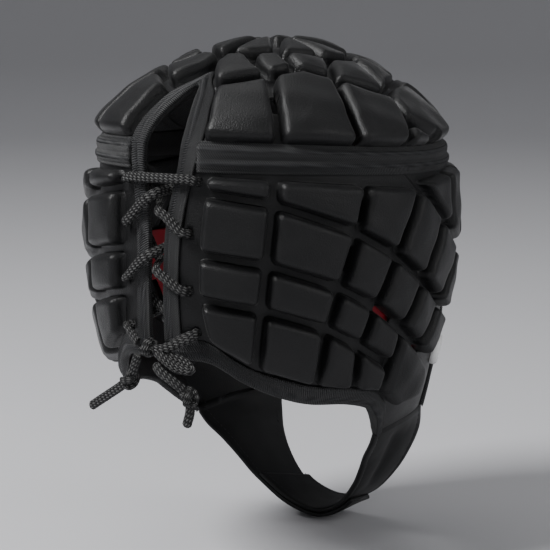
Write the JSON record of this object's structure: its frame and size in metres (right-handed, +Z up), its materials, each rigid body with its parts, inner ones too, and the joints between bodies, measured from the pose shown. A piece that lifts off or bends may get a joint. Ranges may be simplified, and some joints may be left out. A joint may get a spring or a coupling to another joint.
{
  "type": "rugby scrum cap",
  "caption": "Padded cloth scrum cap with raised foam pads, ribbed tapes, a laced rear slit, cheek flaps and a chin strap.",
  "frame": {"origin": "inner face of the crown at its highest point, where the cap rests on the head", "axes": "+Z up, the face looks along -Y, the laced slit is at +Y, the wearer's right is at -X"},
  "size_m": [0.1668, 0.2201, 0.2456],
  "materials": {
    "padded_cloth": "matt black stretch cloth over foam pads, with a soft sheen on the rounded edges",
    "ribbed_tape": "black woven tape with fine diagonal ribs",
    "strap_cloth": "smooth matt black laminated cloth with edge stitching",
    "red_lining": "thin matt red cloth",
    "lace": "braided black lace with pale flecks",
    "white_disc": "plain satin white disc"
  },
  "bodies": {
    "root": {"crown_panel": "padded_cloth", "brow_panel": "padded_cloth", "side_panel_right": "padded_cloth", "side_panel_left": "padded_cloth", "band_tape": "ribbed_tape", "slit_binding": "ribbed_tape", "hem_binding_right": "ribbed_tape", "hem_binding_left": "ribbed_tape", "face_binding": "ribbed_tape", "ear_lining_right": "red_lining", "ear_lining_left": "red_lining", "chin_strap_right": "strap_cloth", "chin_strap_left": "strap_cloth", "lace_route": "lace", "lace_knot": "lace", "lace_end_right": "lace", "lace_end_left": "lace", "cheek_disc": "white_disc"}
  },
  "joints": []
}
